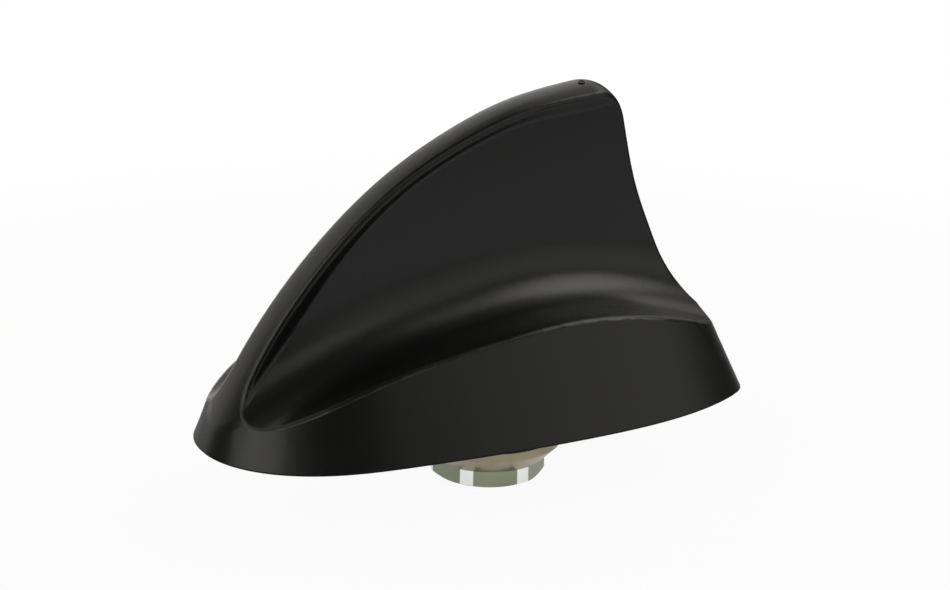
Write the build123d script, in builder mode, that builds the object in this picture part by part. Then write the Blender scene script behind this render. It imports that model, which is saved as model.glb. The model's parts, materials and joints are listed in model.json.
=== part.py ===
from build123d import *
import math
import os

# Roof aerial with a fin-shaped cover. Millimetres, +Z up, nose towards -X.
# The origin is the stub's axis where it passes the roof plane.

# Plan of the skirt where it meets the roof
nose_reach = 92.0
tail_reach = 71.0
tail_bow = 2.0
tail_half = 31.5
waist_x, waist_half = 8.0, 43.0
haunch_x, haunch_in = 44.0, 2.0
flank_x, flank_in = -46.0, 6.2
shoulder_back, shoulder_half = 18.9, 29.0
cheek_back, cheek_half = 5.3, 17.0
tail_corner_r = 13.0
tail_corner_ease = -0.45

# Skirt
skirt_flare = 20.0
skirt_lift = 0.8
skirt_head = 6.0

# Crest of the skirt in side view, from ahead of the nose to behind the tail
crest_nose_back, crest_nose_z = 8.0, 10.8
crest_front_back, crest_front_z = 35.0, 21.7
crest_flank_x, crest_flank_z = -20.0, 29.2
crest_top_x, crest_top_z = 6.0, 31.7
crest_rear_x, crest_rear_z = 34.0, 28.7
crest_tail_x, crest_tail_z = 60.0, 20.6
crest_run_out = 20.0
crest_run_out_drop = 8.1
shelf_fall = 0.03
valley_r = 16.0

# Spine of the fin in side view, from below the nose to behind the tip
spine_foot_back, spine_foot_z = -2.0, -1.0
spine_low_back, spine_low_z = 10.8, 22.6
spine_brow_back, spine_brow_z = 32.3, 49.7
spine_mid_x, spine_mid_z = -31.2, 71.8
spine_high_x, spine_high_z = -9.6, 81.8
spine_top_x, spine_top_z = 9.0, 87.3
spine_tip_x, spine_tip_z = 26.0, 89.5
spine_end_x, spine_end_z = 52.0, 90.3
spine_foot_angle = 60.0
spine_crown_half = 54.0
spine_crown_back = -23.8
spine_crown_drop = -114.7
nose_r = 16.0

# Trailing edge of the fin in side view
trail_top_x, trail_top_z = 36.5, 96.0
trail_high_x, trail_high_z = 41.2, 75.0
trail_mid_x, trail_mid_z = 44.8, 59.4
trail_low_x, trail_low_z = 50.8, 43.6
trail_foot_x, trail_foot_z = 60.6, 24.6
tip_r = 10.0

# Recessed side panels and the ridge that the recess leaves along the spine
panel_half = 5.4
panel_mid_z = 60.0
panel_wedge = 0.045
panel_draft = 0.026
panel_high = 50.0
ridge_start_half = 2.5
ridge_end_half = 24.0
ridge_slope = 25.0
ridge_foot_angle = 67.0
ridge_datum = 3.0
ridge_inset_foot = 10.5
ridge_inset_low = 7.37
ridge_inset_brow = 6.04
ridge_inset_mid = 6.33
ridge_inset_high = 8.12
ridge_inset_top = 10.3
ridge_inset_tip = 13.0
recess_r = 2.5
edge_r = 1.5
sharp_angle = 25.0

# Blank from which the fin is cut
blank_half = 9.5
blank_front_back, blank_rear_x = 10.0, 58.0
blank_foot_z = 14.0
block = 150.0

# Hollow of the cover
skirt_wall = 2.6
roof_wall = 2.6
fin_wall = 1.8
slot_front_x = -36.0
slot_foot_z = 17.0
slot_inset = 9.5
slot_trail_inset = 4.0

# Rubber seals between the base and the roof
seal_h = 1.6
rim_setback = 1.1
rim_width = 9.0
stub_seal_r = 16.0
stub_seal_gap = 0.3

# Base plate with its stub
plate_h = 3.0
plate_gap = 0.3
stub_r = 10.0
stub_end = 21.0
stub_lead = 1.0
bore_r = 6.5
post_r = 3.0
post_h = 4.4
rib_x, rib_y = -6.0, 12.0
rib_length, rib_w, rib_h = 68.0, 1.6, 2.2

# Screws that hold the cover down, put in from below
boss_front_back, boss_front_in = 26.0, 17.0
boss_side_x, boss_side_in = 0.0, 13.0
boss_rear_back, boss_rear_in = 19.0, 9.5
boss_r = 3.6
cover_screw_r = 1.4
cover_screw_head_r, cover_screw_head_h = 2.6, 1.4
cover_screw_bite = 7.0
screw_tip_room = 1.0
screw_gap = 0.1

# Flange nut
nut_bottom = 21.7
nut_af = 30.0
nut_turn = 35.0
nut_corner_r = 16.4
nut_chamfer = 0.9
hex_h = 5.3
flange_r = 21.0
flange_rim_h = 2.5
thread_gap = 0.1
nut_lead = 0.6

# Grommet for the leads
grommet_h = 8.0
grommet_gap = 0.1
collar_r, collar_h = 8.4, 1.0
lead_r, lead_pitch_r = 1.4, 3.4
lead_count = 3

# Amplifier board on its posts
board_front_back, board_front_in = 32.0, 15.0
board_rear_back, board_rear_in = 27.0, 21.0
board_h = 1.6
board_corner_r = 3.0
board_hole_r = 7.5
board_screw_margin = 5.0
board_screw_r = 1.2
board_screw_head_r, board_screw_head_h = 2.3, 1.3
board_screw_bite = 3.0

# Satellite patch
patch_back = 23.0
patch_size, patch_h = 25.0, 4.0
patch_corner_r = 1.0
pad_margin, pad_h = 0.5, 0.5
electrode_margin, electrode_h = 2.5, 0.15
feed_x, feed_r = 3.0, 0.6
feed_head_r, feed_head_h = 1.2, 0.4
feed_gap = 0.1

# Screened amplifier, filters and sockets on the board
shield_x, shield_y = 20.5, 11.5
shield_length, shield_width, shield_h = 25.0, 13.0, 4.5
sheet = 0.3
lid_gap = 0.05
lid_rim = 2.0
chip_size, chip_h = 6.0, 1.1
chip_pitch = 11.0
filter_x, filter_y = 16.0, -12.0
filter_length, filter_width, filter_h = 5.0, 4.0, 2.0
filter_pitch = 8.0
socket_x, socket_pitch = -13.0, 7.5
socket_base, socket_base_h = 5.0, 0.8
socket_r, socket_h = 2.0, 2.8
socket_bore_r, socket_pin_r = 1.4, 0.4

# Radiator in the fin and its holder
radiator_t = 1.2
radiator_gap = 3.0
radiator_front_x = -30.0
radiator_foot_z = 31.0
tab_x, tab_length = 29.0, 22.0
trace_t, trace_w = 0.15, 2.0
trace_x, trace_z = 14.0, 52.0
trace_length, trace_pitch = 34.0, 6.0
trace_rows = 4
bracket_x, bracket_length = 29.0, 14.0
bracket_width, bracket_h, bracket_floor = 6.0, 4.4, 1.4
bracket_gap = 0.1
clip_foot, clip_width, clip_t, clip_h = 6.0, 3.0, 0.3, 9.0
foam_x, foam_length = 20.0, 18.0
foam_width = 3.6

flare_tan = math.tan(math.radians(skirt_flare))
haunch_half = waist_half - haunch_in
flank_half = waist_half - flank_in
crest_nose_x = crest_nose_back - nose_reach
crest_front_x = crest_front_back - nose_reach
spine_foot_x = spine_foot_back - nose_reach
spine_low_x = spine_low_back - nose_reach
spine_brow_x = spine_brow_back - nose_reach
blank_front_x = blank_front_back - nose_reach
boss_front_x, boss_front_y = boss_front_back - nose_reach, shoulder_half - boss_front_in
boss_side_y = waist_half - boss_side_in
boss_rear_x, boss_rear_y = tail_reach - boss_rear_back, tail_half - boss_rear_in
board_front_x, board_front_half = board_front_back - nose_reach, shoulder_half - board_front_in
board_rear_x, board_rear_half = tail_reach - board_rear_back, waist_half - board_rear_in
patch_x = board_front_x + patch_back
spine_line = [
    (spine_foot_x, spine_foot_z),
    (spine_low_x, spine_low_z),
    (spine_brow_x, spine_brow_z),
    (spine_mid_x, spine_mid_z),
    (spine_high_x, spine_high_z),
    (spine_top_x, spine_top_z),
    (spine_tip_x, spine_tip_z),
    (spine_end_x, spine_end_z),
]
ridge_insets = [
    ridge_inset_foot,
    ridge_inset_low,
    ridge_inset_brow,
    ridge_inset_mid,
    ridge_inset_high,
    ridge_inset_top,
    ridge_inset_tip,
    ridge_inset_tip,
]
crest_line = [
    (crest_nose_x - crest_run_out, crest_nose_z - crest_run_out_drop),
    (crest_nose_x, crest_nose_z),
    (crest_front_x, crest_front_z),
    (crest_flank_x, crest_flank_z),
    (crest_top_x, crest_top_z),
    (crest_rear_x, crest_rear_z),
    (crest_tail_x, crest_tail_z),
    (crest_tail_x + crest_run_out, crest_tail_z - crest_run_out_drop),
]
trail_line = [
    (trail_top_x, trail_top_z),
    (trail_high_x, trail_high_z),
    (trail_mid_x, trail_mid_z),
    (trail_low_x, trail_low_z),
    (trail_foot_x, trail_foot_z),
    (crest_tail_x + crest_run_out, crest_tail_z - crest_run_out_drop),
]
boss_spots = [
    (boss_front_x, -boss_front_y),
    (boss_front_x, boss_front_y),
    (boss_side_x, -boss_side_y),
    (boss_side_x, boss_side_y),
    (boss_rear_x, -boss_rear_y),
    (boss_rear_x, boss_rear_y),
]
post_front_x = board_front_x + board_screw_margin
post_front_y = board_front_half - board_screw_margin
post_rear_x = board_rear_x - board_screw_margin
post_rear_y = board_rear_half - board_screw_margin
post_spots = [
    (post_front_x, -post_front_y),
    (post_front_x, post_front_y),
    (post_rear_x, -post_rear_y),
    (post_rear_x, post_rear_y),
]
plate_top = seal_h + plate_h
board_z = plate_top + post_h
board_top = board_z + board_h
tab_foot_z = board_top + bracket_floor
patch_z = board_top + pad_h
electrode_z = patch_z + patch_h
feed_z = electrode_z + electrode_h
flange_z = hex_h - nut_bottom


def plan_outline(height, inset):
    """Closed plan of the skirt at one height, moved in by inset."""
    side = [
        Vector(tail_reach - tail_bow, tail_half),
        Vector(haunch_x, haunch_half),
        Vector(waist_x, waist_half),
        Vector(flank_x, flank_half),
        Vector(shoulder_back - nose_reach, shoulder_half),
        Vector(cheek_back - nose_reach, cheek_half),
    ]
    loop = side + [Vector(-nose_reach, 0)] + [Vector(p.X, -p.Y) for p in reversed(side)]
    with BuildSketch(Plane.XY.offset(height)) as plan:
        with BuildLine():
            guide = Spline(*loop, mode=Mode.PRIVATE)
            moved = []
            for point in loop:
                along = guide.tangent_at(guide.param_at_point(point))
                moved.append(point + Vector(-along.Y, along.X) * inset)
            along = guide.tangent_at(0)
            slide = inset * (1 - along.Y) / along.X
            moved[0] -= along * slide
            moved[-1] = Vector(moved[0].X, -moved[0].Y)
            flanks = Spline(*moved)
            ThreePointArc(flanks @ 0, (tail_reach - inset, 0), flanks @ 1)
        make_face()
        fillet(plan.vertices().group_by(Axis.X)[-1], tail_corner_r - tail_corner_ease * inset)
    return plan.sketch


def flared(low, high, wall):
    """The two plans of a flared block that stays a wall inside the skirt."""
    return [
        plan_outline(low, low * flare_tan + wall),
        plan_outline(high, high * flare_tan + wall),
    ]


def line_ends(foot_angle):
    """Directions of a line that leaves its foot at an angle and ends level."""
    return (math.cos(math.radians(foot_angle)), math.sin(math.radians(foot_angle))), (1, 0)


def behind_spine(side_plane, line, foot_angle):
    """Side view of everything behind and below a spine line."""
    with BuildSketch(side_plane) as region:
        with BuildLine():
            spine = Spline(*line, tangents=line_ends(foot_angle))
            high = (spine @ 1).Y
            front = (spine @ 0).X
            Polyline(spine @ 1, (block, high), (block, -block), (front, -block), spine @ 0)
        make_face()
    return region.sketch


def behind_trail(side_plane, inset):
    """Side view of everything behind the trailing edge, moved forwards by inset."""
    with BuildSketch(side_plane) as region:
        with BuildLine():
            guide = Spline(*trail_line, mode=Mode.PRIVATE)
            moved = []
            for point in trail_line:
                along = guide.tangent_at(guide.param_at_point(point))
                moved.append((point[0] + along.Y * inset, point[1] - along.X * inset))
            trail = Spline(*moved)
            foot = trail @ 1
            Polyline(foot, (block, foot.Y), (block, block), ((trail @ 0).X, block), trail @ 0)
        make_face()
    return region.sketch


def inset_spine(insets):
    """Points of the spine moved inwards, each by its own inset."""
    ends = [Vector(*end) for end in line_ends(spine_foot_angle)]
    guide = Edge.make_spline([Vector(*point) for point in spine_line], ends)
    moved = []
    for (x, z), inset in zip(spine_line, insets):
        along = guide.tangent_at(guide.param_at_point((x, z)))
        moved.append((x + along.Y * inset, z - along.X * inset))
    return moved


def ridge_region(half):
    """Side view of the recess at one distance from the middle plane."""
    reach = (half - ridge_datum) / math.tan(math.radians(ridge_slope))
    line = inset_spine([inset - reach for inset in ridge_insets])
    return behind_spine(Plane.XZ.offset(half), line, ridge_foot_angle)


def fin_core(spine_inset, trail_inset):
    """Block with the side view of the fin, inset from its two edges."""
    far_side = Plane.XZ.offset(-blank_half)
    with BuildPart() as core:
        line = inset_spine([spine_inset] * len(spine_line))
        extrude(behind_spine(far_side, line, spine_foot_angle), amount=2 * blank_half)
        extrude(behind_trail(far_side, trail_inset), amount=2 * blank_half, mode=Mode.SUBTRACT)
    return core.part


def sharp_edges(solid):
    """Edges above the rim where two faces meet at more than the sharp angle."""
    faces = solid.faces()
    found = []
    for edge in solid.edges():
        middle = edge @ 0.5
        sides = [face for face in faces if any(edge.is_same(side) for side in face.edges())]
        if len(sides) == 2 and middle.Z > skirt_lift + edge_r:
            turn = sides[0].normal_at(middle).get_angle(sides[1].normal_at(middle))
            if turn > sharp_angle:
                found.append(edge)
    return found


def write(piece, name):
    """Label one finished piece and save it."""
    piece.label = name
    export_step(piece, f"parts/{name}.step")


os.makedirs("parts", exist_ok=True)

# Outer form of the cover: flared skirt and fin blank under a crowned spine
with BuildPart() as envelope:
    loft(flared(skirt_lift, crest_top_z + skirt_head, 0), ruled=True)
    with BuildSketch(Plane.XY.offset(blank_foot_z)):
        with Locations(((blank_front_x + blank_rear_x) / 2, 0)):
            Rectangle(blank_rear_x - blank_front_x, 2 * blank_half)
    extrude(amount=spine_end_z - blank_foot_z)
    lowered = [(x + spine_crown_back, z + spine_crown_drop) for x, z in spine_line]
    crown = [
        behind_spine(Plane.XZ.offset(spine_crown_half), lowered, spine_foot_angle),
        behind_spine(Plane.XZ, spine_line, spine_foot_angle),
        behind_spine(Plane.XZ.offset(-spine_crown_half), lowered, spine_foot_angle),
    ]
    loft(crown, mode=Mode.INTERSECT)
    extrude(behind_trail(Plane.XZ.offset(-block), 0), amount=2 * block, mode=Mode.SUBTRACT)
    fillet(envelope.edges().filter_by_position(Axis.Z, trail_high_z, block).sort_by(Axis.X)[-1], tip_r)
    nose_crease = [e for e in envelope.edges() if e.center().X < blank_front_x and abs((e @ 0.5).Y) < edge_r]
    fillet([e for e in nose_crease if (e @ 0.5).Z > skirt_lift + edge_r], nose_r)

# Wall of the side recess, which leans outwards from the ridge
with BuildPart() as ridge_wall:
    outer = ridge_region(ridge_end_half)
    loft([ridge_region(ridge_start_half), outer], ruled=True)
    extrude(outer, amount=block)

# Side recess above the crest, down to the drafted panel
panel = Plane(
    origin=(0, -panel_half, panel_mid_z),
    x_dir=(1, -panel_wedge, 0),
    z_dir=(-panel_wedge, -1, panel_draft),
)
with BuildPart() as recess:
    with BuildSketch(panel):
        with BuildLine():
            crest = Spline(*[(x, z - panel_mid_z) for x, z in crest_line])
            front, rear = crest @ 0, crest @ 1
            Polyline(rear, (rear.X, panel_high), (front.X, panel_high), front)
        make_face()
    extrude(amount=block, dir=(0, -1, -shelf_fall))
    fillet(recess.edges().filter_by(GeomType.BSPLINE).sort_by(Axis.Y)[-1], valley_r)
    add(ridge_wall.part, mode=Mode.INTERSECT)
    panel_face = recess.faces().filter_by(GeomType.PLANE).filter_by(panel).sort_by(Axis.Y)[-1]
    fillet(panel_face.edges().filter_by(GeomType.BSPLINE).sort_by(Axis.Z)[-1], recess_r)

# Chamber under the skirt, left solid where the screw bosses stand
with BuildPart() as chamber:
    loft(flared(skirt_lift, crest_top_z, skirt_wall), ruled=True)
    with BuildSketch(Plane.XZ.offset(-block)):
        with BuildLine():
            drop = roof_wall + shelf_fall * waist_half
            roof = Spline(*[(x, z - drop) for x, z in crest_line])
            front, rear = roof @ 0, roof @ 1
            Polyline(rear, (rear.X, -block), (front.X, -block), front)
        make_face()
    extrude(amount=2 * block, mode=Mode.INTERSECT)
    with BuildSketch(Plane.XY.offset(plate_top)):
        with Locations(*boss_spots):
            Circle(boss_r)
    extrude(amount=block, mode=Mode.SUBTRACT)

# Slot inside the fin
slot_draft = panel_draft * (spine_tip_z - panel_mid_z)
slot_front_half = panel_half + panel_wedge * slot_front_x - slot_draft - fin_wall
slot_rear_half = panel_half + panel_wedge * trail_low_x - slot_draft - fin_wall
with BuildPart() as slot:
    with BuildSketch(Plane.XY.offset(slot_foot_z)):
        with BuildLine():
            Polyline(
                (slot_front_x, -slot_front_half),
                (trail_low_x, -slot_rear_half),
                (trail_low_x, slot_rear_half),
                (slot_front_x, slot_front_half),
                close=True,
            )
        make_face()
    extrude(amount=spine_end_z - slot_foot_z)
    add(fin_core(slot_inset, slot_trail_inset), mode=Mode.INTERSECT)

# Moulded cover
with BuildPart() as fin_cover:
    add(envelope.part)
    add(recess.part, mode=Mode.SUBTRACT)
    add(recess.part.mirror(Plane.XZ), mode=Mode.SUBTRACT)
    fillet(sharp_edges(fin_cover.part), edge_r)
    add(chamber.part, mode=Mode.SUBTRACT)
    add(slot.part, mode=Mode.SUBTRACT)
    with BuildSketch(Plane.XY.offset(plate_top)):
        with Locations(*boss_spots):
            Circle(cover_screw_r)
    extrude(amount=cover_screw_bite + screw_tip_room, mode=Mode.SUBTRACT)
write(fin_cover.part, "fin_cover")

# Rim seal: a thin lip under the skirt and a taller pad under the base plate
with BuildPart() as rim_seal:
    extrude(plan_outline(0, rim_setback), amount=skirt_lift)
    extrude(plan_outline(0, seal_h * flare_tan + skirt_wall + plate_gap), amount=seal_h)
    extrude(plan_outline(0, rim_width), amount=seal_h, mode=Mode.SUBTRACT)
write(rim_seal.part, "rim_seal")

with BuildPart() as stub_seal:
    with BuildSketch():
        Circle(stub_seal_r)
        Circle(stub_r + stub_seal_gap, mode=Mode.SUBTRACT)
    extrude(amount=seal_h)
write(stub_seal.part, "stub_seal")

# Cast base plate with its hollow stub, board posts and screw holes
with BuildPart() as base_plate:
    loft(flared(seal_h, plate_top, skirt_wall + plate_gap), ruled=True)
    with BuildSketch(Plane.XY.offset(-stub_end)):
        Circle(stub_r)
    extrude(amount=stub_end + seal_h)
    chamfer(base_plate.faces().sort_by(Axis.Z)[0].edges(), stub_lead)
    with BuildSketch(Plane.XY.offset(plate_top)):
        with Locations(*post_spots):
            Circle(post_r)
    extrude(amount=post_h)
    with BuildSketch(Plane.XY.offset(plate_top)):
        with Locations((rib_x, -rib_y), (rib_x, rib_y)):
            SlotOverall(rib_length, rib_w)
    extrude(amount=rib_h)
    with BuildSketch(Plane.XY.offset(-stub_end)):
        Circle(bore_r)
    extrude(amount=stub_end + plate_top, mode=Mode.SUBTRACT)
    with BuildSketch(Plane.XY.offset(seal_h)):
        with Locations(*boss_spots):
            Circle(cover_screw_r + screw_gap)
    extrude(amount=plate_h, mode=Mode.SUBTRACT)
    with BuildSketch(Plane.XY.offset(seal_h)):
        with Locations(*boss_spots):
            Circle(cover_screw_head_r + screw_gap)
    extrude(amount=cover_screw_head_h, mode=Mode.SUBTRACT)
    with BuildSketch(Plane.XY.offset(board_z)):
        with Locations(*post_spots):
            Circle(board_screw_r)
    extrude(amount=-board_screw_bite - screw_tip_room, mode=Mode.SUBTRACT)
write(base_plate.part, "base_plate")

for number, (x, y) in enumerate(boss_spots, 1):
    with BuildPart() as cover_screw:
        with BuildSketch(Plane.XY.offset(seal_h)):
            with Locations((x, y)):
                Circle(cover_screw_head_r)
        extrude(amount=cover_screw_head_h)
        with BuildSketch(Plane.XY.offset(seal_h)):
            with Locations((x, y)):
                Circle(cover_screw_r)
        extrude(amount=plate_h + cover_screw_bite)
    write(cover_screw.part, f"cover_screw_{number}")

# Flange nut: corners turned off, cone up to the flange rim
with BuildPart() as flange_nut:
    with BuildSketch(Plane.XY.offset(-nut_bottom)):
        RegularPolygon(nut_af / 2, 6, major_radius=False, rotation=nut_turn)
    extrude(amount=hex_h)
    with BuildSketch(Plane.XZ):
        with BuildLine():
            Polyline(
                (0, -nut_bottom),
                (nut_corner_r - 2 * nut_chamfer, -nut_bottom),
                (nut_corner_r, nut_chamfer - nut_bottom),
                (nut_corner_r, flange_z),
                (0, flange_z),
                close=True,
            )
        make_face()
    revolve(axis=Axis.Z, mode=Mode.INTERSECT)
    cone_h = flange_r - nut_corner_r
    with BuildSketch(Plane.XZ):
        with BuildLine():
            Polyline(
                (0, flange_z),
                (nut_corner_r, flange_z),
                (flange_r, flange_z + cone_h),
                (flange_r, flange_z + cone_h + flange_rim_h),
                (0, flange_z + cone_h + flange_rim_h),
                close=True,
            )
        make_face()
    revolve(axis=Axis.Z)
    with BuildSketch(Plane.XY.offset(-nut_bottom)):
        Circle(stub_r + thread_gap)
    extrude(amount=nut_bottom, mode=Mode.SUBTRACT)
    chamfer(flange_nut.faces().sort_by(Axis.Z)[0].edges().filter_by(GeomType.CIRCLE).sort_by(SortBy.RADIUS)[0], nut_lead)
write(flange_nut.part, "flange_nut")

# Grommet in the mouth of the stub, with holes for the leads
with BuildPart() as cable_grommet:
    with BuildSketch(Plane.XY.offset(-stub_end)):
        Circle(bore_r - grommet_gap)
    extrude(amount=grommet_h)
    with BuildSketch(Plane.XY.offset(-stub_end)):
        Circle(collar_r)
    extrude(amount=-collar_h)
    with BuildSketch(Plane.XY.offset(-stub_end - collar_h)):
        with PolarLocations(lead_pitch_r, lead_count):
            Circle(lead_r)
    extrude(amount=collar_h + grommet_h, mode=Mode.SUBTRACT)
write(cable_grommet.part, "cable_grommet")

# Amplifier board
with BuildPart() as amplifier_board:
    with BuildSketch(Plane.XY.offset(board_z)) as board_plan:
        with BuildLine():
            Polyline(
                (board_front_x, -board_front_half),
                (board_rear_x, -board_rear_half),
                (board_rear_x, board_rear_half),
                (board_front_x, board_front_half),
                close=True,
            )
        make_face()
        fillet(board_plan.vertices(), board_corner_r)
        Circle(board_hole_r, mode=Mode.SUBTRACT)
        with Locations(*post_spots):
            Circle(board_screw_r + screw_gap, mode=Mode.SUBTRACT)
        with Locations((patch_x + feed_x, 0)):
            Circle(feed_r + feed_gap, mode=Mode.SUBTRACT)
    extrude(amount=board_h)
write(amplifier_board.part, "amplifier_board")

for number, (x, y) in enumerate(post_spots, 1):
    with BuildPart() as board_screw:
        with BuildSketch(Plane.XY.offset(board_top)):
            with Locations((x, y)):
                Circle(board_screw_head_r)
        extrude(amount=board_screw_head_h)
        with BuildSketch(Plane.XY.offset(board_top)):
            with Locations((x, y)):
                Circle(board_screw_r)
        extrude(amount=-board_h - board_screw_bite)
    write(board_screw.part, f"board_screw_{number}")

# Satellite patch: adhesive pad, ceramic block, silvered face and feed pin
with BuildPart() as patch_pad:
    with BuildSketch(Plane.XY.offset(board_top)):
        with Locations((patch_x, 0)):
            Rectangle(patch_size - 2 * pad_margin, patch_size - 2 * pad_margin)
        with Locations((patch_x + feed_x, 0)):
            Circle(feed_r + feed_gap, mode=Mode.SUBTRACT)
    extrude(amount=pad_h)
write(patch_pad.part, "patch_pad")

with BuildPart() as gps_patch:
    with BuildSketch(Plane.XY.offset(patch_z)):
        with Locations((patch_x, 0)):
            RectangleRounded(patch_size, patch_size, patch_corner_r)
        with Locations((patch_x + feed_x, 0)):
            Circle(feed_r + feed_gap, mode=Mode.SUBTRACT)
    extrude(amount=patch_h)
write(gps_patch.part, "gps_patch")

with BuildPart() as patch_electrode:
    with BuildSketch(Plane.XY.offset(electrode_z)) as face_plan:
        with Locations((patch_x, 0)):
            Rectangle(patch_size - 2 * electrode_margin, patch_size - 2 * electrode_margin)
        chamfer(face_plan.vertices().sort_by_distance((patch_x - patch_size, -patch_size))[0], electrode_margin)
        with Locations((patch_x + feed_x, 0)):
            Circle(feed_r + feed_gap, mode=Mode.SUBTRACT)
    extrude(amount=electrode_h)
write(patch_electrode.part, "patch_electrode")

with BuildPart() as patch_feed:
    with BuildSketch(Plane.XY.offset(board_z)):
        with Locations((patch_x + feed_x, 0)):
            Circle(feed_r)
    extrude(amount=feed_z - board_z)
    with BuildSketch(Plane.XY.offset(feed_z)):
        with Locations((patch_x + feed_x, 0)):
            Circle(feed_head_r)
    extrude(amount=feed_head_h)
write(patch_feed.part, "patch_feed")

# Screening can over the amplifier
with BuildPart() as shield_frame:
    with BuildSketch(Plane.XY.offset(board_top)):
        with Locations((shield_x, shield_y)):
            Rectangle(shield_length, shield_width)
            Rectangle(shield_length - 2 * sheet, shield_width - 2 * sheet, mode=Mode.SUBTRACT)
    extrude(amount=shield_h)
write(shield_frame.part, "shield_frame")

lid_length = shield_length + 2 * (lid_gap + sheet)
lid_width = shield_width + 2 * (lid_gap + sheet)
with BuildPart() as shield_lid:
    with BuildSketch(Plane.XY.offset(board_top + shield_h - lid_rim)):
        with Locations((shield_x, shield_y)):
            RectangleRounded(lid_length, lid_width, 2 * sheet)
    extrude(amount=lid_rim + sheet)
    with BuildSketch(Plane.XY.offset(board_top + shield_h - lid_rim)):
        with Locations((shield_x, shield_y)):
            Rectangle(shield_length + 2 * lid_gap, shield_width + 2 * lid_gap)
    extrude(amount=lid_rim, mode=Mode.SUBTRACT)
write(shield_lid.part, "shield_lid")

chip_spots = [(shield_x - chip_pitch / 2, shield_y), (shield_x + chip_pitch / 2, shield_y)]
for number, (x, y) in enumerate(chip_spots, 1):
    with BuildPart() as amplifier_chip:
        with BuildSketch(Plane.XY.offset(board_top)):
            with Locations((x, y)):
                Rectangle(chip_size, chip_size)
        extrude(amount=chip_h)
    write(amplifier_chip.part, f"amplifier_chip_{number}")

filter_spots = [(filter_x + step * filter_pitch, filter_y) for step in (-1, 0, 1)]
for number, (x, y) in enumerate(filter_spots, 1):
    with BuildPart() as filter_block:
        with BuildSketch(Plane.XY.offset(board_top)):
            with Locations((x, y)):
                Rectangle(filter_length, filter_width)
        extrude(amount=filter_h)
    write(filter_block.part, f"filter_block_{number}")

socket_spots = [(socket_x, step * socket_pitch) for step in (-1, 0, 1)]
for number, (x, y) in enumerate(socket_spots, 1):
    with BuildPart() as coax_socket:
        with BuildSketch(Plane.XY.offset(board_top)):
            with Locations((x, y)):
                Rectangle(socket_base, socket_base)
        extrude(amount=socket_base_h)
        with BuildSketch(Plane.XY.offset(board_top + socket_base_h)):
            with Locations((x, y)):
                Circle(socket_r)
                Circle(socket_bore_r, mode=Mode.SUBTRACT)
                Circle(socket_pin_r)
        extrude(amount=socket_h - socket_base_h)
    write(coax_socket.part, f"coax_socket_{number}")

# Radiator: a board in the fin with a tab that stands in its holder
radiator_side = Plane.XZ.offset(-radiator_t / 2)
with BuildPart() as fin_radiator:
    with BuildSketch(radiator_side):
        with BuildLine():
            Polyline(
                (radiator_front_x, radiator_foot_z),
                (tab_x - tab_length / 2, radiator_foot_z),
                (tab_x - tab_length / 2, tab_foot_z),
                (tab_x + tab_length / 2, tab_foot_z),
                (tab_x + tab_length / 2, radiator_foot_z),
                (trail_low_x, radiator_foot_z),
                (trail_low_x, spine_end_z),
                (radiator_front_x, spine_end_z),
                close=True,
            )
        make_face()
    extrude(amount=radiator_t)
    add(fin_core(slot_inset + radiator_gap, slot_trail_inset + radiator_gap), mode=Mode.INTERSECT)
write(fin_radiator.part, "fin_radiator")

# Meander of copper on the radiator, near side
with BuildPart() as radiator_trace:
    with BuildSketch(Plane.XZ.offset(radiator_t / 2)):
        with Locations((trace_x, trace_z)):
            with GridLocations(0, trace_pitch, 1, trace_rows):
                Rectangle(trace_length, trace_w)
        for row in range(trace_rows - 1):
            end = trace_x + (-1) ** row * (trace_length - trace_w) / 2
            height = trace_z + (row + 1 - trace_rows / 2) * trace_pitch
            with Locations((end, height)):
                Rectangle(trace_w, trace_pitch + trace_w)
    extrude(amount=trace_t)
write(radiator_trace.part, "radiator_trace")

with BuildPart() as radiator_bracket:
    with BuildSketch(Plane.XY.offset(board_top)):
        with Locations((bracket_x, 0)):
            RectangleRounded(bracket_length, bracket_width, board_screw_r)
    extrude(amount=bracket_h)
    with BuildSketch(Plane.XY.offset(tab_foot_z)):
        with Locations((bracket_x, 0)):
            Rectangle(bracket_length, radiator_t + 2 * bracket_gap)
    extrude(amount=bracket_h, mode=Mode.SUBTRACT)
write(radiator_bracket.part, "radiator_bracket")

# Spring clip from the board to the front edge of the tab
with BuildPart() as contact_clip:
    with BuildSketch(Plane.XZ.offset(-clip_width / 2)):
        with BuildLine():
            Polyline(
                (tab_x - tab_length / 2 - clip_foot, board_top),
                (tab_x - tab_length / 2, board_top),
                (tab_x - tab_length / 2, board_top + clip_h),
                (tab_x - tab_length / 2 - clip_t, board_top + clip_h),
                (tab_x - tab_length / 2 - clip_t, board_top + clip_t),
                (tab_x - tab_length / 2 - clip_foot, board_top + clip_t),
                close=True,
            )
        make_face()
    extrude(amount=clip_width)
write(contact_clip.part, "contact_clip")

# Foam strip between the radiator's top edge and the roof of the slot
with BuildPart() as foam_pad:
    with BuildSketch(Plane.XY.offset(trail_mid_z)):
        with Locations((foam_x, 0)):
            Rectangle(foam_length, foam_width)
    extrude(amount=spine_end_z - trail_mid_z)
    add(fin_core(slot_inset, slot_trail_inset), mode=Mode.INTERSECT)
    add(fin_core(slot_inset + radiator_gap, slot_trail_inset + radiator_gap), mode=Mode.SUBTRACT)
write(foam_pad.part, "foam_pad")
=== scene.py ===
import json
import math

import bpy
from mathutils import Matrix, Vector


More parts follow.
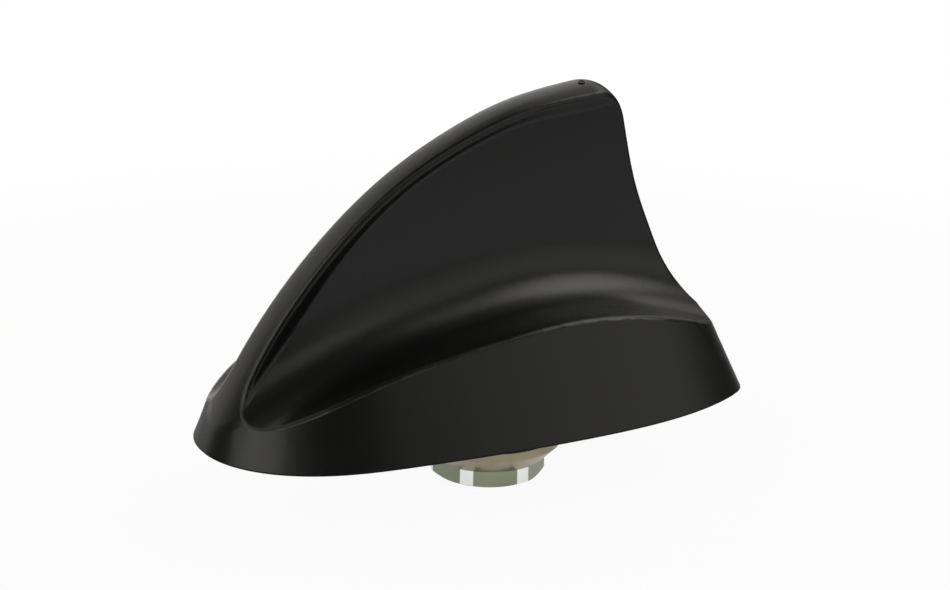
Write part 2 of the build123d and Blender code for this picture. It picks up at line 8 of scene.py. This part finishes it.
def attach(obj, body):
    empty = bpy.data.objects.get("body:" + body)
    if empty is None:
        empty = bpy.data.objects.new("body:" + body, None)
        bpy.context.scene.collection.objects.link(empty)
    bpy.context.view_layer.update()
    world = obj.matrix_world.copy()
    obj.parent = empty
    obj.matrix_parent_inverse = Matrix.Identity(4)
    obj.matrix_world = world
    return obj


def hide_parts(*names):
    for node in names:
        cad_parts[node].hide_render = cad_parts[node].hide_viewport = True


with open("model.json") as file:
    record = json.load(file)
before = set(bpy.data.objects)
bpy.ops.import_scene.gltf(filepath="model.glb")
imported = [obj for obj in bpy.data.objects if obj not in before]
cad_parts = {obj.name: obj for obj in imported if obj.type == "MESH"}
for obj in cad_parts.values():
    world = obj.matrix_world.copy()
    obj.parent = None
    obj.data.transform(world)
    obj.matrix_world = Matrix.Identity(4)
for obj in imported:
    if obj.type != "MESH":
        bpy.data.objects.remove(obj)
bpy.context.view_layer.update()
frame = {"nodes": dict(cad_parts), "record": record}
nodes = frame["nodes"]

MM = 0.001

# Camera of the photograph: angles in degrees, distance and aim in mm, far clip in metres
VIEW_AZIMUTH, VIEW_ELEVATION, VIEW_ROLL = -33.5, 18.3, 1.0
VIEW_DISTANCE = 900.0
VIEW_AIM = (-5.3, 0.0, 31.9)
LENS_MM, SENSOR_MM = 120.9, 36.0
CLIP_END = 20.0

# Thread of the stub, in mm: where it runs, its outer radius and its three-cornered profile
THREAD_TOP, THREAD_LOW, THREAD_PITCH = -0.6, -8.6, 1.5
THREAD_R, THREAD_FORM, THREAD_STRETCH = 10.28, 0.5, 2.4
THREAD_CORNERS, THREAD_STEPS = 3, 64

# Cover screws: their number, their cross recess in mm, and the gap that joins up triangles
COVER_SCREWS = 6
DRIVE_LENGTH, DRIVE_WIDTH, DRIVE_DEPTH = 2.8, 0.55, 0.8
MERGE_GAP = 0.002

# Moulding mark: its place in mm and tilt in degrees, then its ring in mm
GATE_MARK, GATE_TILT = (28.6, -1.2, 89.66), (6.5, -4.6)
GATE_R, GATE_RIM, GATE_ROUND = 1.0, 0.48, 0.10
GATE_RISE, GATE_SUNK, GATE_DISH = 0.34, 0.6, 0.30
GATE_SIDES, GATE_ROUND_STEPS = 48, 3
FACING_UP = 0.9

# Edges that turn by less than this are shaded smooth, in degrees
SMOOTH_ANGLE, GATE_SMOOTH_ANGLE = 30, 60

# Nut, in mm: where its corners with their painted highlight and its cone with its painted
# shade begin, and how soft these edges are
NUT_CORNER_R, NUT_CORNER_EDGE = 16.34, 0.12
NUT_CONE_Z, NUT_CONE_EDGE = -16.35, 0.1

# Colours of the seen finishes, dark and light
WHITE = (1.0, 1.0, 1.0)
PLASTIC_BLACK = ((0.0022, 0.0022, 0.0022), (0.0032, 0.0030, 0.0028))
RUBBER_BLACK = ((0.005, 0.005, 0.005), (0.010, 0.010, 0.010))
OLIVE_FLATS = ((0.23, 0.25, 0.17), (0.29, 0.31, 0.22))
# Warm dark tone of the nut's cone: painted shade, standing in for the shaded floor that the
# cone reflects
CONE_PAINTED_SHADE = ((0.21, 0.18, 0.12), (0.39, 0.34, 0.24))
# Near white on the nut's turned corners: bare turned metal, brightened as a painted highlight
CORNER_PAINTED_HIGHLIGHT = (0.95, 0.96, 0.93)
CAST_GREY = ((0.40, 0.41, 0.42), (0.55, 0.56, 0.57))

# Plain metals: dark and light colour, and roughness
METALS = {
    "screw_steel": ((0.45, 0.45, 0.46), (0.62, 0.62, 0.63), 0.28),
    "can_tin": ((0.60, 0.60, 0.60), (0.72, 0.72, 0.72), 0.22),
    "patch_silver": ((0.68, 0.67, 0.65), (0.78, 0.77, 0.75), 0.30),
    "trace_copper": ((0.62, 0.34, 0.20), (0.75, 0.45, 0.28), 0.25),
    "socket_gold": ((0.72, 0.54, 0.22), (0.84, 0.66, 0.32), 0.20),
}

# Plain matt finishes: dark and light colour, roughness, and scale of the mottling
MATTS = {
    "board_green": ((0.015, 0.11, 0.05), (0.03, 0.17, 0.08), 0.35, 900.0),
    "chip_black": ((0.02, 0.02, 0.022), (0.035, 0.035, 0.037), 0.55, 1500.0),
    "filter_grey": ((0.36, 0.36, 0.38), (0.46, 0.46, 0.48), 0.40, 1500.0),
    "patch_ceramic": ((0.72, 0.67, 0.58), (0.80, 0.76, 0.68), 0.45, 1200.0),
    "tape_grey": ((0.18, 0.18, 0.19), (0.27, 0.27, 0.28), 0.80, 1800.0),
    "holder_white": ((0.70, 0.70, 0.67), (0.78, 0.78, 0.75), 0.45, 900.0),
}
MOTTLE_ROUGHNESS = 0.10

# Soft studio light: direction, where it starts and is full, and its strength
FILL_LEVEL = 0.10
STUDIO_LIGHTS = (
    ((0.02, 0.95, 0.30), 0.70, 0.86, 0.74),
    ((0.00, 0.99, 0.05), 0.95, 1.00, 0.90),
    ((-0.56, 0.32, 0.76), 0.86, 1.00, 0.70),
    ((-0.945, -0.12, 0.30), 0.82, 1.00, 1.55),
    ((-0.58, -0.48, 0.66), 0.93, 1.00, 1.80),
    ((0.06, -0.71, 0.70), 0.95, 1.00, 0.70),
    ((0.25, -0.80, 0.55), 0.95, 1.00, 0.30),
    ((0.61, -0.17, 0.77), 0.915, 1.00, 2.50),
    ((0.62, -0.75, 0.23), 0.84, 0.985, 0.66),
    ((0.60, 0.42, 0.68), 0.90, 1.00, 0.70),
    ((0.82, 0.41, 0.40), 0.93, 1.00, 0.35),
)
LIGHT_TINT = (1.0, 0.985, 0.95)

# Floor: its height in mm, its half width and the fade of its edge in metres, its colour,
# and the share of plain white that the camera sees in it near the part
FLOOR_Z = -22.05
FLOOR_HALF, FLOOR_FADE = 0.40, (0.22, 0.38)
FLOOR_COLOUR = (0.88, 0.88, 0.88)
FLOOR_WHITE = 0.94

# Painted pool of light on the floor, seen only in reflections: its level in front, behind and
# close to the part, then the way to the front, where the front begins, and the ring that
# counts as close, in metres
GLOSS_FRONT, GLOSS_BACK, GLOSS_NEAR = 0.56, 0.30, 0.40
GLOSS_WAY, GLOSS_SPAN = (-0.30, -0.95, 0.0), (0.00, 0.05)
GLOSS_RING = (0.045, 0.07)


def only(piece):
    """Select one object and make it the active one."""
    bpy.ops.object.select_all(action="DESELECT")
    piece.select_set(True)
    bpy.context.view_layer.objects.active = piece


def apply_modifier(piece, kind, **settings):
    """Add one modifier with its settings and apply it."""
    only(piece)
    modifier = piece.modifiers.new(kind.lower(), kind)
    for key, value in settings.items():
        setattr(modifier, key, value)
    bpy.ops.object.modifier_apply(modifier=modifier.name)


def settle(piece):
    """Keep a piece where it is, with its place, turn and scale in its mesh."""
    only(piece)
    bpy.ops.object.transform_apply(location=True, rotation=True, scale=True)


def merged_copy(node, name):
    """A copy of a CAD node with its triangles joined up."""
    piece = bpy.data.objects.new(name, nodes[node].data.copy())
    bpy.context.scene.collection.objects.link(piece)
    piece.data.materials.clear()
    only(piece)
    bpy.ops.object.mode_set(mode="EDIT")
    bpy.ops.mesh.select_all(action="SELECT")
    bpy.ops.mesh.remove_doubles(threshold=MERGE_GAP * MM)
    bpy.ops.object.mode_set(mode="OBJECT")
    if piece.data.has_custom_normals:
        bpy.ops.mesh.customdata_custom_splitnormals_clear()
    return piece


def smooth(piece, degrees):
    """Shade a piece smooth, except across its sharper edges."""
    only(piece)
    bpy.ops.object.shade_smooth_by_angle(angle=math.radians(degrees))


def wear(piece, slot):
    """Give a piece the finish of its record slot, and its body."""
    piece.data.materials.clear()
    piece.data.materials.append(finishes[slot])
    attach(piece, "root")


def opaque(colour):
    """A colour with the full alpha that a colour socket takes."""
    return (*colour, 1.0)


class Value:
    """A socket in a node tree; arithmetic on it adds Math nodes."""

    def __init__(self, finish, socket):
        self.finish = finish
        self.socket = socket

    def math(self, operation, first, second):
        return self.finish.node(
            "ShaderNodeMath", {"operation": operation}, {0: first, 1: second})

    def __add__(self, other):
        return self.math("ADD", self, other)

    def __radd__(self, other):
        return self.math("ADD", other, self)

    def __sub__(self, other):
        return self.math("SUBTRACT", self, other)

    def __rsub__(self, other):
        return self.math("SUBTRACT", other, self)

    def __mul__(self, other):
        return self.math("MULTIPLY", self, other)

    def __rmul__(self, other):
        return self.math("MULTIPLY", other, self)


class Finish:
    """The nodes of a material or of the world, from an empty tree."""

    def __init__(self, owner):
        owner.use_nodes = True
        self.owner = owner
        self.tree = owner.node_tree
        self.tree.nodes.clear()

    def node(self, kind, settings=None, sockets=None, output=0):
        """Add a node: its settings, then the values or links of its sockets."""
        made = self.tree.nodes.new(kind)
        for key, value in (settings or {}).items():
            setattr(made, key, value)
        for key, value in (sockets or {}).items():
            if isinstance(value, Value):
                self.tree.links.new(value.socket, made.inputs[key])
            else:
                made.inputs[key].default_value = value
        return Value(self, made.outputs[output]) if made.outputs else None

    def coords(self):
        return self.node("ShaderNodeTexCoord", output="Object")

    def noise(self, scale, detail, vector=None):
        return self.node("ShaderNodeTexNoise", None, {
            "Vector": vector or self.coords(), "Scale": scale, "Detail": detail})

    def stretched(self, x, y, z):
        """Object coordinates, stretched along each axis."""
        return self.node("ShaderNodeMapping", None, {
            "Vector": self.coords(), "Scale": (x, y, z)})

    def step(self, value, low, high):
        """Soft step from 0 at one value to 1 at another."""
        return self.node("ShaderNodeMapRange", {"interpolation_type": "SMOOTHSTEP"}, {
            "Value": value, "From Min": low, "From Max": high})

    def along(self, vector, axis):
        """How far a vector reaches along an axis."""
        return self.node(
            "ShaderNodeVectorMath", {"operation": "DOT_PRODUCT"}, {0: vector, 1: axis}, 1)

    def radius(self):
        """Distance from the stub's axis, in metres."""
        flat = self.stretched(1.0, 1.0, 0.0)
        return self.node("ShaderNodeVectorMath", {"operation": "LENGTH"}, {0: flat}, 1)

    def height(self):
        return self.node("ShaderNodeSeparateXYZ", None, {0: self.coords()}, 2)

    def ray(self, kind):
        """1 for one kind of ray, such as Camera or Glossy, and 0 for the others."""
        return self.node("ShaderNodeLightPath", output=f"Is {kind} Ray")

    def blend(self, factor, low, high):
        """Colour between two colours, each a colour or a socket."""
        ends = [c if isinstance(c, Value) else opaque(c) for c in (low, high)]
        return self.node(
            "ShaderNodeMix", {"data_type": "RGBA"}, {0: factor, 6: ends[0], 7: ends[1]}, 2)

    def bump(self, height, strength, distance):
        return self.node("ShaderNodeBump", None, {
            "Strength": strength, "Distance": distance, "Height": height})

    def surface(self, **sockets):
        """Finish with a Principled shader; underscores in names stand for spaces."""
        named = {key.replace("_", " "): value for key, value in sockets.items()}
        shader = self.node("ShaderNodeBsdfPrincipled", None, named)
        self.node("ShaderNodeOutputMaterial", None, {"Surface": shader})
        return self.owner


def satin_black_plastic():
    """Moulded cover: near black, with a fine satin grain."""
    finish = Finish(bpy.data.materials.new("satin_black_plastic"))
    cloud = finish.noise(scale=22.0, detail=3.0)
    grain = finish.noise(scale=2600.0, detail=1.0)
    return finish.surface(
        Base_Color=finish.blend(cloud, *PLASTIC_BLACK),
        Roughness=0.22 + 0.05 * cloud + 0.04 * grain,
        Normal=finish.bump(grain, strength=0.10, distance=0.00004),
        IOR=1.46,
    )


def rubber_black():
    """Soft seals: dull black, with a coarser grain."""
    finish = Finish(bpy.data.materials.new("rubber_black"))
    grain = finish.noise(scale=1400.0, detail=3.0)
    cloud = finish.noise(scale=60.0, detail=3.0)
    return finish.surface(
        Base_Color=finish.blend(cloud, *RUBBER_BLACK),
        Roughness=0.68 + 0.16 * grain,
        Normal=finish.bump(grain, strength=0.25, distance=0.0001),
        IOR=1.42,
    )


def plated_nut():
    """Olive plating on the flats, a warm dark cone that is painted shade, and turned corners
    painted near white as a painted highlight.
    """
    finish = Finish(bpy.data.materials.new("plated_nut"))
    cloud = finish.noise(scale=110.0, detail=4.0)
    streak = finish.noise(
        scale=1.0, detail=2.0, vector=finish.stretched(2500.0, 2500.0, 60.0))
    cone = finish.step(
        finish.height(), (NUT_CONE_Z - NUT_CONE_EDGE) * MM, (NUT_CONE_Z + NUT_CONE_EDGE) * MM)
    outside = finish.step(
        finish.radius(), (NUT_CORNER_R - NUT_CORNER_EDGE) * MM, NUT_CORNER_R * MM)
    flats = finish.blend(cloud, *OLIVE_FLATS)
    # Painted shade: the cone gets a darker, warmer tone than the flats
    cone_painted_shade = finish.blend(cloud, *CONE_PAINTED_SHADE)
    # Painted highlight: the turned corners of the hex, below the cone, are painted near white
    corner_highlight = outside * (1.0 - cone)
    return finish.surface(
        Base_Color=finish.blend(corner_highlight, finish.blend(cone, flats, cone_painted_shade), CORNER_PAINTED_HIGHLIGHT),
        Metallic=1.0,
        Roughness=0.20 + 0.08 * streak,
        Normal=finish.bump(streak, strength=0.08, distance=0.00003),
    )


def cast_alloy():
    """Die-cast base plate and stub: rough grey metal."""
    finish = Finish(bpy.data.materials.new("cast_alloy"))
    grain = finish.noise(scale=700.0, detail=4.0)
    cloud = finish.noise(scale=40.0, detail=3.0)
    return finish.surface(
        Base_Color=finish.blend(cloud, *CAST_GREY),
        Metallic=1.0,
        Roughness=0.42 + 0.14 * grain,
        Normal=finish.bump(grain, strength=0.30, distance=0.00012),
    )


def metal(name, dark, light, rough):
    """A plain metal with a mottled colour and gloss."""
    finish = Finish(bpy.data.materials.new(name))
    cloud = finish.noise(scale=250.0, detail=3.0)
    return finish.surface(
        Base_Color=finish.blend(cloud, dark, light),
        Metallic=1.0,
        Roughness=rough + MOTTLE_ROUGHNESS * cloud,
    )


def matt(name, dark, light, rough, scale):
    """A plain board, ceramic, foam or plastic with a mottled surface."""
    finish = Finish(bpy.data.materials.new(name))
    cloud = finish.noise(scale=scale, detail=3.0)
    return finish.surface(
        Base_Color=finish.blend(cloud, dark, light),
        Roughness=rough + MOTTLE_ROUGHNESS * cloud,
        Normal=finish.bump(cloud, strength=0.15, distance=0.00005),
    )


def pale_floor():
    """A floor that stays white behind the part and keeps its shadow, with a painted pool of
    light that only reflections see.
    """
    finish = Finish(bpy.data.materials.new("pale_floor"))
    seen = finish.ray("Camera")
    glossy = finish.ray("Glossy")
    reach = finish.radius()
    edge = finish.step(reach, *FLOOR_FADE)
    # Painted pool of light: brighter close to the stub and in front of the part, dimmer
    # behind, seen only in reflections
    near = 1.0 - finish.step(reach, *GLOSS_RING)
    front = finish.step(finish.along(finish.coords(), GLOSS_WAY), *GLOSS_SPAN)
    painted_light_pool = GLOSS_BACK + (GLOSS_FRONT - GLOSS_BACK) * front + GLOSS_NEAR * near
    white = FLOOR_WHITE + (1.0 - FLOOR_WHITE) * edge
    matte = finish.node("ShaderNodeBsdfDiffuse", None, {"Color": opaque(FLOOR_COLOUR)})
    glow = finish.node("ShaderNodeEmission", None, {
        "Color": opaque(WHITE), "Strength": seen + painted_light_pool * glossy})
    mixed = finish.node("ShaderNodeMixShader", None, {
        0: white * seen + glossy, 1: matte, 2: glow})
    finish.node("ShaderNodeOutputMaterial", None, {"Surface": mixed})
    return finish.owner


finishes = {
    "cover_black": satin_black_plastic(),
    "seal_rubber": rubber_black(),
    "nut_nickel": plated_nut(),
    "base_alloy": cast_alloy(),
}
for slot, look in METALS.items():
    finishes[slot] = metal(slot, *look)
for slot, look in MATTS.items():
    finishes[slot] = matt(slot, *look)

# The solids keep their own smooth surfaces and get their finishes
slots = {entry["node"]: entry["material_slot"] for entry in frame["record"]["subparts"]}
for name, node in nodes.items():
    node.data.materials.clear()
    node.data.materials.append(finishes[slots[name]])

# Thread of the stub between seal and nut: a three-cornered profile run round as a screw
bpy.ops.object.select_all(action="DESELECT")
bpy.ops.mesh.primitive_circle_add(
    vertices=THREAD_CORNERS,
    radius=THREAD_FORM * MM,
    location=((THREAD_R - THREAD_FORM) * MM, 0.0, 0.0),
    rotation=(math.pi / 2, math.pi / 2, 0.0),
)
thread = bpy.context.object
thread.name = "stub_thread"
settle(thread)
thread.scale.z = THREAD_STRETCH
thread.location.z = THREAD_LOW * MM
settle(thread)
apply_modifier(
    thread, "SCREW",
    angle=2 * math.pi,
    screw_offset=THREAD_PITCH * MM,
    iterations=round((THREAD_TOP - THREAD_LOW) / THREAD_PITCH),
    steps=THREAD_STEPS,
    render_steps=THREAD_STEPS,
    use_normal_calculate=True,
)
bpy.ops.object.mode_set(mode="EDIT")
bpy.ops.mesh.select_all(action="SELECT")
bpy.ops.mesh.fill_holes(sides=THREAD_CORNERS)
bpy.ops.mesh.normals_make_consistent(inside=False)
bpy.ops.object.mode_set(mode="OBJECT")
smooth(thread, SMOOTH_ANGLE)
wear(thread, "base_alloy")

# Cross recesses in the heads of the cover screws
for number in range(1, COVER_SCREWS + 1):
    screw = merged_copy(f"cover_screw_{number}", f"drive_screw_{number}")
    corners = [vertex.co for vertex in screw.data.vertices]
    middle = [(min(c[k] for c in corners) + max(c[k] for c in corners)) / 2 for k in range(2)]
    head = min(c[2] for c in corners)
    for length, width in ((DRIVE_LENGTH, DRIVE_WIDTH), (DRIVE_WIDTH, DRIVE_LENGTH)):
        bpy.ops.object.select_all(action="DESELECT")
        bpy.ops.mesh.primitive_cube_add(size=1.0, location=(*middle, head))
        cutter = bpy.context.object
        cutter.scale = (length * MM, width * MM, 2 * DRIVE_DEPTH * MM)
        settle(cutter)
        apply_modifier(screw, "BOOLEAN", operation="DIFFERENCE", solver="EXACT", object=cutter)
        bpy.data.objects.remove(cutter)
    smooth(screw, SMOOTH_ANGLE)
    wear(screw, "screw_steel")
    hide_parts(f"cover_screw_{number}")

# Small moulding mark on the crown near the tip: a low ring round a dished middle
bpy.ops.object.select_all(action="DESELECT")
bpy.ops.mesh.primitive_cylinder_add(
    vertices=GATE_SIDES,
    radius=GATE_R * MM,
    depth=(GATE_RISE + GATE_SUNK) * MM,
    location=(0.0, 0.0, (GATE_RISE - GATE_SUNK) / 2 * MM),
)
mark = bpy.context.object
mark.name = "gate_mark"
settle(mark)
bpy.ops.object.mode_set(mode="EDIT")
bpy.ops.mesh.select_mode(type="FACE")
bpy.ops.mesh.select_all(action="DESELECT")
bpy.ops.object.mode_set(mode="OBJECT")
for face in mark.data.polygons:
    face.select = face.normal.z > FACING_UP
bpy.ops.object.mode_set(mode="EDIT")
bpy.ops.mesh.inset(thickness=GATE_RIM * MM)
bpy.ops.transform.translate(value=(0.0, 0.0, -GATE_DISH * MM))
bpy.ops.object.mode_set(mode="OBJECT")
apply_modifier(
    mark, "BEVEL", width=GATE_ROUND * MM, segments=GATE_ROUND_STEPS, limit_method="ANGLE")
mark.rotation_euler = [math.radians(angle) for angle in GATE_TILT] + [0.0]
mark.location = [v * MM for v in GATE_MARK]
settle(mark)
smooth(mark, GATE_SMOOTH_ANGLE)
wear(mark, "cover_black")

# Stage: a pale floor just under the stub's end
bpy.ops.object.select_all(action="DESELECT")
bpy.ops.mesh.primitive_plane_add(size=2 * FLOOR_HALF, location=(0.0, 0.0, FLOOR_Z * MM))
floor = bpy.context.object
floor.name = "floor"
floor.data.materials.append(pale_floor())

# Studio: bright to the left, behind and high on the right, dim on the camera's side
world = bpy.data.worlds.new("studio")
bpy.context.scene.world = world
sky = Finish(world)
way = sky.node("ShaderNodeTexCoord", output="Generated")
level = FILL_LEVEL
for axis, start, full, strength in STUDIO_LIGHTS:
    facing = sky.along(way, Vector(axis).normalized())
    level = level + strength * sky.step(facing, start, full)
seen = sky.ray("Camera")
backdrop = sky.node("ShaderNodeBackground", None, {
    "Color": sky.blend(seen, LIGHT_TINT, WHITE), "Strength": seen + level * (1.0 - seen)})
sky.node("ShaderNodeOutputWorld", None, {"Surface": backdrop})

# Camera
azimuth, elevation, roll = (
    math.radians(v) for v in (VIEW_AZIMUTH, VIEW_ELEVATION, VIEW_ROLL))
back = Vector((
    math.sin(azimuth) * math.cos(elevation),
    -math.cos(azimuth) * math.cos(elevation),
    math.sin(elevation),
))
right = Vector((math.cos(azimuth), math.sin(azimuth), 0.0))
up = back.cross(right)
columns = (
    math.cos(roll) * right + math.sin(roll) * up,
    math.cos(roll) * up - math.sin(roll) * right,
    back,
    (Vector(VIEW_AIM) + VIEW_DISTANCE * back) * MM,
)
bpy.ops.object.camera_add()
camera = bpy.context.object
camera.data.sensor_width = SENSOR_MM
camera.data.lens = LENS_MM
camera.data.clip_end = CLIP_END
camera.matrix_world = Matrix([[c[i] for c in columns] for i in range(3)] + [[0, 0, 0, 1]])
bpy.context.scene.camera = camera
bpy.context.scene.view_settings.view_transform = "Standard"
